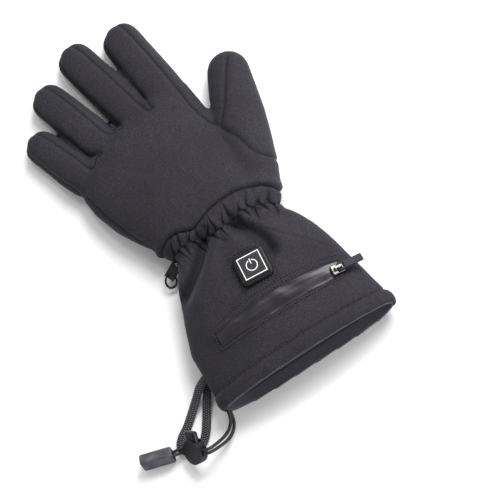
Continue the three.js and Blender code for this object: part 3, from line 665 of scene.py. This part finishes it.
def outer_share(points, facing):
    """How far each point belongs to the glove's outer face: 0 inside, 1 outside"""
    nearest = np.full(len(points), 1e9)
    share = np.zeros(len(points))
    for near, far, half, tall in FORMS:
        near, run = np.array(near), np.subtract(far, near)
        way = np.clip((points[:, :2] - near) @ run / (run @ run), 0, 1)
        aside = points[:, :2] - near - way[:, None] * run
        away = np.column_stack([aside / half ** 2, (points[:, 2] - tall) / tall ** 2])
        distance = np.hypot(np.hypot(*aside.T) / half, (points[:, 2] - tall) / tall)
        lean = (away * facing).sum(axis=1) / np.maximum(np.linalg.norm(away, axis=1), 1e-9)
        closer = distance < nearest
        nearest[closer] = distance[closer]
        share[closer] = np.clip(lean[closer] * 3 + 0.4, 0, 1)
    return share


def past_lip(points):
    """How far each point lies from the mouth's upper edge towards the fingers"""
    return points[:, 1] + LIP_SLOPE * points[:, 0] - LIP_START


def cloth_moves(points, facing, sizes):
    """Each point's move along its normal and fall, in millimetres, and the strength of the shade painted into
    the cloth's creases there
    """
    seam_depth = sizes.seam_depth / MM
    pitch = sizes.pleat_pitch / MM
    pleat_depth = sizes.pleat_depth / MM
    flat = points[:, :2]
    outside = outer_share(points, facing)
    top = np.clip((points[:, 2] - 9) / 8, 0, 1)
    move, sink, crease = (np.zeros(len(points)) for _ in range(3))
    wobble = cloud(points, 9.0, 1)
    broad = cloud(points, 34.0, 2)

    def sew(line, depth, width, pucker, only_top=False, dark=0.9):
        """Draws the cloth in along one seam, with a swell on both sides, and paints shade into its groove as
        strong as dark
        """
        fine = smooth_line(line, 3.0)
        distance, along = along_line(flat, fine)
        near = distance < 16
        strength = outside * (top if only_top else 1.0)
        line_groove = groove(distance, width)
        swell = 0.25 * depth * groove(distance - 3.2 * width, 2.0 * width)
        waves = np.sin(2 * np.pi * along / 7.5 + 3.0 * wobble) * groove(distance, 5.5) * pucker
        length = way_along(fine)[-1]
        strength = strength * np.clip(np.minimum(along, length - along) / 5 + 0.25, 0, 1)
        move[near] += ((swell - depth * line_groove + waves) * strength)[near]
        # Painted shade in the seam's groove
        crease[near] = np.maximum(crease[near], (dark * groove(distance, width * 0.62) * strength)[near])

    for line in finger_lines():
        sew(line, 1.1 * seam_depth, 1.3, 0.05, dark=1.0)
    for line in THUMB_SEAMS:
        sew(line, seam_depth, 1.5, 0.08)
    sew(HAND_SIDE_SEAM, 0.8 * seam_depth, 1.4, 0.12)
    sew(CUFF_SIDE_SEAM, 0.45 * seam_depth, 1.2, 0.15, True, 0.35)
    sew(HAND_SEAM, 1.3 * seam_depth, 1.1, 0.15)

    # The hand's cloth swells over its seam, and the wrist's cloth is drawn in by the elastic
    hand_distance, _ = along_line(flat, smooth_line(HAND_SEAM, 3.0))
    beyond = np.where(points[:, 1] > np.interp(flat[:, 0], *np.array(sorted(HAND_SEAM)).T), 1.0, 0.0)
    move += outside * beyond * 1.3 * groove(hand_distance - 4.5, 4.0)
    distance, along = along_line(flat, smooth_line(ELASTIC_LINE, 3.0))
    ahead = points[:, 1] - np.interp(flat[:, 0], *np.array(sorted(ELASTIC_LINE)).T)

    # Pleats: a zigzag where the elastic is sewn, and long creases that lean by turns out of its corners, each
    # with shade painted into it
    phase = along / pitch + 0.16 * wobble
    corner = 4 * np.abs(phase - np.floor(phase) - 0.5) - 1
    wrist = outside * np.clip((points[:, 2] - 4) / 6, 0, 1) * (distance < 20)
    zigzag = groove(ahead - 1.8 * corner, 1.5)
    move -= wrist * pleat_depth * 0.5 * zigzag
    crease = np.maximum(crease, wrist * 0.55 * groove(ahead - 1.8 * corner, 0.8))
    for way, shift, reach in ((1, 0.0, 11.0), (-1, 0.5, 8.5)):
        room = np.clip(way * ahead, 0, None)
        start = np.clip(way * ahead / 1.5 + 0.6, 0, 1) * (1 - beyond)
        puff = -way * np.cos(2 * np.pi * phase) * start * np.exp(-room / reach)
        move += wrist * pleat_depth * 0.3 * puff
        for parity, lean in ((0, 0.15 * way), (1, 0.55 * way)):
            spot = (phase + shift - parity + lean * ahead / pitch) / 2
            number = np.round(spot)
            length = reach * (1 + 0.45 * np.sin(12.9 * number + 5 * parity + shift))
            line_depth = start * np.exp(-(room / length) ** 2) * groove((spot - number) * 2 * pitch, 0.95)
            move -= wrist * pleat_depth * 0.85 * line_depth
            crease = np.maximum(crease, wrist * 0.75 * line_depth)

    # Each fold sinks the cloth, and shade is painted along its valley
    for line, depth, width in CUFF_FOLDS:
        fold, fold_along = along_line(flat, smooth_line(line, 3.0))
        length = math.dist(line[0], line[-1])
        fade = np.clip(np.minimum(fold_along, length - fold_along) / 8 + 0.15, 0, 1)
        sink += top * depth * (groove(fold, width) - 0.35 * groove(fold - 2.2 * width, 1.4 * width)) * fade
        crease = np.maximum(crease, 0.11 * depth * outside * top * groove(fold, width * 1.1) * fade)

    # Hem: padded edge, and the groove that its stitches draw in, with shade painted into the groove
    lip = past_lip(points)
    hem = sizes.hem_depth / MM
    move += outside * 1.5 * np.clip(1 - np.abs(lip - hem * 0.5) / (hem * 0.5), 0, 1) ** 0.6
    stitch_wave = 0.2 * np.sin(2 * np.pi * flat[:, 0] / 5.2) * groove(lip - hem, 3.5)
    move += outside * (stitch_wave - 0.95 * groove(lip - hem, 1.4))
    crease = np.maximum(crease, 0.45 * outside * groove(lip - hem, 0.8))

    # The cloth turns up at the zip's long edges and lies lower under its tape
    spots = points[:, :2] - (ZIP["x"], ZIP["y"])
    turn = math.radians(ZIP["turn"])
    way = spots @ (math.cos(turn), math.sin(turn))
    share = way / (ZIP["length"] / 2)
    across = spots @ (-math.sin(turn), math.cos(turn)) + ZIP["bow"] * (1 - share ** 2)
    within = outside * top * np.clip((1.04 - np.abs(share)) * 12, 0, 1)
    half = zip_half(np.clip(share, -1, 1))
    move += within * 0.9 * groove(np.abs(across) - half - 1.0, 1.3)
    move -= within * 0.6 * np.clip((half - np.abs(across)) / 1.5, 0, 1)

    # Soft unevenness of padded cloth
    move += outside * (0.55 * broad + 0.16 * cloud(points, 15.0, 3)) * np.clip(points[:, 2] / 6, 0, 1)
    return move, sink, crease


def lower_lip(points):
    """How far the mouth's lower edge reaches out past its upper edge, in millimetres"""
    low = np.clip((17 - points[:, 2]) / 10, 0, 1)
    middle = np.clip(1.15 - (points[:, 0] / 84) ** 2, 0, 1)
    return 2.9 * low * middle * np.clip((16 - past_lip(points)) / 14, 0, 1)


def finer_wrist(mesh):
    """Divides the faces round the gathered wrist and the hand's seam once more"""
    points = own_millimetres(vector_table(mesh.vertices))
    wanted = along_line(points[:, :2], smooth_line(ELASTIC_LINE, 6.0))[0] < 14
    wanted |= along_line(points[:, :2], smooth_line(HAND_SEAM, 6.0))[0] < 5
    wanted &= points[:, 2] > 8
    bm = bmesh_of(mesh)
    faces = [face for face in bm.faces if all(wanted[vert.index] for vert in face.verts)]
    edges = list({edge for face in faces for edge in face.edges})
    bmesh.ops.subdivide_edges(bm, edges=edges, cuts=2, use_grid_fill=True)
    bm.to_mesh(mesh)
    bm.free()


class GLOVE_OT_cloth(bpy.types.Operator):
    """Sews the glove's outer cloth: hand, fingers, gathered wrist, gauntlet and hem"""
    bl_idname = "glove.cloth"
    bl_label = "Cloth"

    def execute(self, context):
        sizes, colours = context.scene.glove_sizes, context.scene.glove_colours
        piece = node_copy("glove_cloth", *CLOTH_NODES)
        shaped(piece, "REMESH", mode="VOXEL", voxel_size=sizes.cloth_grid)
        shaped(piece, "SMOOTH", factor=0.5, iterations=14)
        mesh = piece.data
        finer_wrist(mesh)
        points = vector_table(mesh.vertices)
        facing = vector_table(mesh.vertex_normals, "vector")
        own = own_millimetres(points)
        move, sink, crease = cloth_moves(own, facing, sizes)
        points += facing * move[:, None] * MM
        points[:, 1] -= lower_lip(own) * MM
        points[:, 2] -= sink * MM
        points[:, 2] = np.maximum(points[:, 2], 0.15 * MM)
        mesh.vertices.foreach_set("co", points.ravel())
        # The strength of the painted shade, kept on the mesh for the cloth's material
        mark = mesh.attributes.new("crease", "FLOAT", "POINT")
        mark.data.foreach_set("value", crease)
        shaped(piece, "SMOOTH", factor=0.35, iterations=1)
        shade_smooth(piece.data)
        material = cloth_material("softshell", rgba(colours.cloth), rgba(colours.cloth_worn), 420.0, 0.06)
        # The softshell takes painted shade, 0.18 of the cloth's colour, where the mesh is marked
        paint_crease_shade(material, colours.cloth)
        finish_piece(piece, "glove", "softshell", material, *CLOTH_NODES)
        return {"FINISHED"}


class GLOVE_OT_facing(bpy.types.Operator):
    """Lines the cuff's mouth with its thinner cloth"""
    bl_idname = "glove.facing"
    bl_label = "Facing"

    def execute(self, context):
        colours = context.scene.glove_colours
        piece = node_copy("cuff_lining", "cuff_facing")
        bm = bmesh_of(piece.data)
        for _ in range(2):
            bmesh.ops.triangulate(bm, faces=bm.faces)
            long_edges = [edge for edge in bm.edges if edge.calc_length() > 3.5 * MM]
            bmesh.ops.subdivide_edges(bm, edges=long_edges, cuts=1, use_grid_fill=True)
        bm.to_mesh(piece.data)
        bm.free()
        points = vector_table(piece.data.vertices)
        own = own_millimetres(points)
        ripple = 0.9 * cloud(own * (0.4, 1.0, 1.0), 9.0, 5) + 0.5 * cloud(own, 22.0, 6)
        inner = np.clip((own[:, 1] - 4) / 12, 0, 1)
        towards = (0, 0, 20 * MM) - points * (1, 0, 1)
        towards /= np.linalg.norm(towards, axis=1)[:, None]
        points += towards * (np.abs(ripple) * inner * MM)[:, None]
        points[:, 1] -= lower_lip(own) * MM
        piece.data.vertices.foreach_set("co", points.ravel())
        shade_smooth(piece.data)
        # The facing's light colour is a painted fill light for the shaded inside of the mouth
        material = cloth_material("facing_cloth", *tones(colours.facing, 1, 1.5), 600.0, 0.06)
        finish_piece(piece, "glove", "facing", material, "cuff_facing")
        return {"FINISHED"}


def dropped(surface, spots, height=120.0, way=-1):
    """Points of a surface met down, or up, from the height in millimetres, with the normals there"""
    found = []
    for x, y in spots:
        hit, normal, _, _ = surface.ray_cast(Vector((x, y, height * MM)), Vector((0, 0, way)))
        if hit is not None:
            found.append((hit, normal))
    return found


def stitch(bm, near, far, normal, thread):
    """One stitch of thread, proud of the cloth in its middle and sunk at its ends"""
    along = far - near
    if along.length < thread:
        return
    side = normal.cross(along).normalized()
    up = along.cross(side).normalized()
    if up.dot(normal) < 0:
        up = -up
    rings = []
    for share, size, rise in STITCH_RINGS:
        middle = near.lerp(far, share) + up * rise * thread
        rings.append(section(bm, middle, side * thread / 2 * size, up * thread / 2 * size, 6))
    join_rings(bm, rings)


def stitch_row(bm, found, thread, fill=0.68):
    """Stitches along a row of points of the cloth"""
    for (near, first), (far, second) in zip(found[:-1], found[1:]):
        if (far - near).length > LONGEST_STITCH * MM:
            continue
        gap = (1 - fill) / 2
        stitch(bm, near.lerp(far, gap), near.lerp(far, 1 - gap), (first + second).normalized(), thread)


def across_mouth(places, depth):
    """Points across the cuff, so far in from the mouth's upper edge"""
    return [(x, depth + LIP_START - LIP_SLOPE * x) for x in places]


class GLOVE_OT_stitches(bpy.types.Operator):
    """Sews the rows of stitches round the hem, the zip and the badge"""
    bl_idname = "glove.stitches"
    bl_label = "Stitches"

    def execute(self, context):
        sizes, colours = context.scene.glove_sizes, context.scene.glove_colours
        surface = surface_of("glove_cloth")
        pitch, thread = sizes.stitch_pitch / MM, sizes.thread
        bm = bmesh.new()
        hem = place(smooth_line(across_mouth((-81, -40, 0, 40, 80), sizes.hem_depth / MM), pitch))
        for height, way in ((120.0, -1), (-50.0, 1)):
            stitch_row(bm, dropped(surface, hem, height, way), thread)
        for line in zip_rows():
            stitch_row(bm, dropped(surface, place(smooth_line(line, pitch * 0.9))), thread)
        for line in badge_rows():
            stitch_row(bm, dropped(surface, place(line)), thread)

        # The row inside the mouth, on the lower cloth
        inside = place(smooth_line(across_mouth((-66, -30, 0, 34, 70), 7.5), pitch * 0.8))
        found = dropped(surface_of("cuff_lining"), inside, 20.0)
        stitch_row(bm, [(hit, normal if normal.z > 0 else -normal) for hit, normal in found], thread * 0.9)
        piece = from_bmesh("stitches", bm)
        material = moulded_material("thread", *tones(colours.cloth, 0.25, 8), 0.5, 0.4, 2600.0)
        finish_piece(piece, "glove", "softshell", material)
        return {"FINISHED"}


def turned(item, x, y):
    """A point beside the zip's or the badge's middle, turned with it"""
    turn = math.radians(item["turn"])
    return (item["x"] + x * math.cos(turn) - y * math.sin(turn),
            item["y"] + x * math.sin(turn) + y * math.cos(turn))


def zip_spot(share, across):
    """A point of the zip's band, from -1 at the little-finger end to 1 at the thumb end"""
    return turned(ZIP, share * ZIP["length"] / 2, across - ZIP["bow"] * (1 - share * share))


def zip_half(share):
    """Half the zip's width, wider at its middle than at its ends"""
    return ZIP["width"] / 2 * (1.2 - 0.3 * share ** 2)


def zip_rows():
    """Stitch rows beside the zip and across its ends"""
    shares = np.linspace(-ZIP_ENDS, ZIP_ENDS, 9)
    rows = [[zip_spot(share, side * (zip_half(share) + away)) for share in shares]
            for side, away in ((-1, ZIP_ROWS[0]), (1, ZIP_ROWS[0]), (1, ZIP_ROWS[1]))]
    edge = zip_half(1) + ZIP_ROWS[0]
    for end in (-ZIP_ENDS, ZIP_ENDS):
        rows.append([zip_spot(end, across) for across in np.linspace(-edge, edge, 5)])
    return rows


def badge_rows():
    """Two square rows of stitches round the badge"""
    rows = []
    for away in BADGE_ROWS:
        half = BADGE["side"] / 2 + away
        corners = [(-half, -half), (half, -half), (half, half), (-half, half), (-half, -half)]
        for near, far in zip(corners[:-1], corners[1:]):
            spots = np.linspace(near, far, int(2 * half / BADGE_PITCH))
            rows.append([turned(BADGE, *spot) for spot in spots])
    return rows


class GLOVE_OT_badge(bpy.types.Operator):
    """Moulds the square heat button, with its printed square and power mark"""
    bl_idname = "glove.badge"
    bl_label = "Badge"

    def execute(self, context):
        sizes, colours = context.scene.glove_sizes, context.scene.glove_colours
        rubber = moulded_material("badge_rubber", *tones(colours.rubber, 0.4, 0.8), 0.42)
        face_rubber = moulded_material("badge_face_rubber", *tones(colours.rubber, 1.4, 2.4), 0.5, 0.2)
        for name, node, material in (("badge_frame", "badge_base", rubber),
                                     ("badge_panel", "badge_face", face_rubber)):
            piece = moulded(name, node, sizes.moulding_grid * 0.8, 2)
            finish_piece(piece, "glove", "badge_rubber", material, node)
        self.printed(colours)
        return {"FINISHED"}

    def printed(self, colours):
        """The raised print, laid on the panel by rays from above"""
        side, line, radius = (PRINT[key] * MM for key in ("side", "line", "radius"))
        bm = bmesh.new()

        # The square: a grid whose inner faces are widened to the line's inside and taken out
        cells = 14
        inner = side / 2 - line
        square = bmesh.ops.create_grid(bm, x_segments=cells, y_segments=cells, size=side / 2)
        for vert in square["verts"]:
            for k in (0, 1):
                if abs(vert.co[k]) <= side / 2 - side / cells * 0.6:
                    widened = vert.co[k] * inner / (side / 2 - side / cells)
                    vert.co[k] = max(-inner, min(inner, widened))
        middle = [face for face in bm.faces
                  if all(max(abs(vert.co.x), abs(vert.co.y)) < inner + 0.001 * MM for vert in face.verts)]
        bmesh.ops.delete(bm, geom=middle, context="FACES")

        # The mark: a bar spun into an open ring, and its upright
        start = Vector((0.27, 1, 0)).normalized()
        ends = [bm.verts.new(start * (radius + shift)) for shift in (-line / 2, line / 2)]
        bmesh.ops.spin(bm, geom=[bm.edges.new(ends), *ends], cent=(0, 0, 0), axis=(0, 0, 1), dvec=(0, 0, 0),
                       angle=-2 * (math.pi - math.acos(start.y)), steps=36, use_merge=False)
        upright = bmesh.ops.create_grid(bm, x_segments=1, y_segments=6, size=0.5)
        for vert in upright["verts"]:
            vert.co = Vector((vert.co.x * line, (PRINT["bar_middle"] + vert.co.y * PRINT["bar"]) * MM, 0))

        # The print lies on the panel's tilted face, read with the cuff's mouth towards the viewer
        panel = surface_of("badge_panel")
        normal = dropped(panel, place([(BADGE["x"], BADGE["y"])]))[0][1]
        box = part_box("badge_face")
        centre = (Vector(box[0]) + Vector(box[1])) / 2
        hit = panel.ray_cast(centre + normal * 30 * MM, -normal)[0]
        across = Matrix.Rotation(math.radians(BADGE["turn"]), 3, "Z") @ Vector((1, 0, 0))
        across = (across - normal * across.dot(normal)).normalized()
        up = normal.cross(across)
        for vert in bm.verts:
            vert.co = hit + across * vert.co.x + up * vert.co.y + normal * PRINT["thick"] * MM
        piece = from_bmesh("badge_print", bm, False)
        shaped(piece, "SOLIDIFY", thickness=PRINT["thick"] * MM, offset=0.0)
        ink = moulded_material("print_ink", *tones(colours.print_ink, 1, 1.2), 0.5, 0.1)
        finish_piece(piece, "glove", "badge_rubber", ink)


class GLOVE_OT_zip(bpy.types.Operator):
    """Lays the coated zip tape and softens the slider and its pull"""
    bl_idname = "glove.zip"
    bl_label = "Zip"

    def execute(self, context):
        sizes, colours = context.scene.glove_sizes, context.scene.glove_colours
        surface = surface_of("glove_cloth")
        bm = bmesh.new()
        grid = bmesh.ops.create_grid(bm, x_segments=100, y_segments=30, size=1)["verts"]
        for vert in grid:
            share = vert.co.x
            half = zip_half(share)
            across = vert.co.y * half
            found = dropped(surface, place([zip_spot(share, across)]))
            if not found:
                raise RuntimeError("the zip's tape reaches past the cloth")
            # The tape rises from its edges to a rounded middle, with a groove over the teeth and soft waves
            edge = min(1.0, half - abs(across), (1 - abs(share)) * ZIP["length"] / 2)
            rise = 0.15 + 0.5 * math.sqrt(max(edge, 0.0)) + 0.9 * (1 - (across / half) ** 2)
            rise -= 0.22 * groove(across - 1.0, 0.5)
            rise += 1.1 * edge * noise.noise(Vector((share * 4.4, across * 0.09, 3.1)))
            vert.co = found[0][0] + Vector((0, 0, rise * MM))
        piece = from_bmesh("zip_band", bm)
        face_up(piece)
        shaped(piece, "SMOOTH", factor=0.5, iterations=22)
        shaped(piece, "SOLIDIFY", thickness=0.8 * MM, offset=-1.0)
        shade_smooth(piece.data)
        coating = moulded_material("coated_tape", *tones(colours.coating, 0.6, 1), 0.26, 0.0, 900.0)
        put(coating, {"Specular IOR Level": 0.5, "Specular Tint": (0.93, 0.90, 1.0, 1.0)})
        finish_piece(piece, "glove", "coated_tape", coating, "zip_tape")
        nickel = moulded_material("dark_nickel", *tones(colours.nickel, 0.3, 1), 0.14, 0.15, 700.0, 1.0)
        rubber = moulded_material("pull_rubber", *tones(colours.moulding, 1.6, 2.6), 0.5)
        for name, node, body, slot, material in (
                ("zip_slider_body", "zip_slider", "glove", "slider_metal", nickel),
                ("zip_pull_tab", "zip_pull", "pull", "pull_rubber", rubber)):
            finish_piece(moulded(name, node, sizes.moulding_grid * 0.7, 2), body, slot, material, node)
        return {"FINISHED"}


class GLOVE_OT_fittings(bpy.types.Operator):
    """Softens the wrist tab, its ring, the cord lock and the cord end"""
    bl_idname = "glove.fittings"
    bl_label = "Fittings"

    def execute(self, context):
        sizes, colours = context.scene.glove_sizes, context.scene.glove_colours
        webbing = cloth_material("webbing", *tones(colours.braid, 1, 3), 900.0, 0.2)
        ring_plastic = moulded_material("ring_plastic", *tones(colours.rubber, 0.5, 1.2), 0.25)
        moulding = moulded_material("moulding", *tones(colours.moulding, 1, 1.8), 0.38, 0.35)
        button = moulded_material("button_moulding", *tones(colours.moulding, 0.8, 1.6), 0.22, 0.2)
        end = moulded_material("end_moulding", *tones(colours.braid, 1.2, 20), 0.5, 0.6, 1100.0)
        table = (
            ("wrist_tab", "hook_tab", "glove", "webbing", webbing, 1.0, 4),
            ("wrist_ring", "hook_ring", "glove", "ring_plastic", ring_plastic, 0.7, 3),
            ("lock_disc", "lock_body", "glove", "moulded_plastic", moulding, 1.0, 4),
            ("lock_press", "lock_button", "button", "moulded_plastic", button, 0.9, 3),
            ("cord_stop", "cord_end", "glove", "moulded_plastic", end, 1.0, 3),
        )
        for name, node, body, slot, material, share, rounding in table:
            piece = moulded(name, node, sizes.moulding_grid * share, rounding)
            finish_piece(piece, body, slot, material, node)
        return {"FINISHED"}


class GLOVE_OT_stage(bpy.types.Operator):
    """Sets the pale floor and the soft studio lights"""
    bl_idname = "glove.stage"
    bl_label = "Stage"

    def execute(self, context):
        colours = context.scene.glove_colours
        bm = bmesh.new()
        bmesh.ops.create_grid(bm, x_segments=8, y_segments=8, size=3.0)
        floor = from_bmesh("floor", bm, False)
        face_up(floor)
        floor.data.materials.append(
            new_material("floor", {"Base Color": rgba(colours.floor), "Roughness": 0.9}))
        world = bpy.data.worlds.new("studio")
        world.use_nodes = True
        background = world.node_tree.nodes["Background"]
        background.inputs["Color"].default_value = (1, 1, 1, 1)
        background.inputs["Strength"].default_value = ALL_ROUND
        context.scene.world = world
        for name, spot, size, power in LAMPS:
            data = bpy.data.lights.new(name, "AREA")
            data.size, data.energy = size, power
            lamp = link(name, data)
            lamp.location = spot
            lamp.rotation_euler = (-Vector(spot)).to_track_quat("-Z", "Y").to_euler()
        context.scene.view_settings.view_transform = "Standard"
        return {"FINISHED"}


class GLOVE_PT_parts(bpy.types.Panel):
    """Lists the glove's pieces, sizes and colours"""
    bl_idname = "GLOVE_PT_parts"
    bl_label = "Glove"
    bl_space_type = "VIEW_3D"
    bl_region_type = "UI"
    bl_category = "Glove"

    def draw(self, context):
        for operator in OPERATORS:
            self.layout.operator(operator.bl_idname)
        for group in (context.scene.glove_sizes, context.scene.glove_colours):
            box = self.layout.box()
            for key in group.__annotations__:
                box.prop(group, key)


OPERATORS = (
    GLOVE_OT_camera, GLOVE_OT_cords, GLOVE_OT_cloth, GLOVE_OT_facing, GLOVE_OT_badge, GLOVE_OT_zip,
    GLOVE_OT_fittings, GLOVE_OT_stitches, GLOVE_OT_stage,
)
CLASSES = (GloveSizes, GloveColours, *OPERATORS, GLOVE_PT_parts)


def register():
    for entry in CLASSES:
        bpy.utils.register_class(entry)
    bpy.types.Scene.glove_sizes = PointerProperty(type=GloveSizes)
    bpy.types.Scene.glove_colours = PointerProperty(type=GloveColours)


def unregister():
    del bpy.types.Scene.glove_colours
    del bpy.types.Scene.glove_sizes
    for entry in reversed(CLASSES):
        bpy.utils.unregister_class(entry)


def main():
    register()
    for group in (weave_group, moulding_group, braid_group):
        group()
    bpy.ops.glove.camera()
    bpy.ops.glove.cords()
    bpy.ops.glove.cloth()
    bpy.ops.glove.facing()
    bpy.ops.glove.badge()
    bpy.ops.glove.zip()
    bpy.ops.glove.fittings()
    bpy.ops.glove.stitches()
    bpy.ops.glove.stage()


if __name__ == "__main__":
    main()
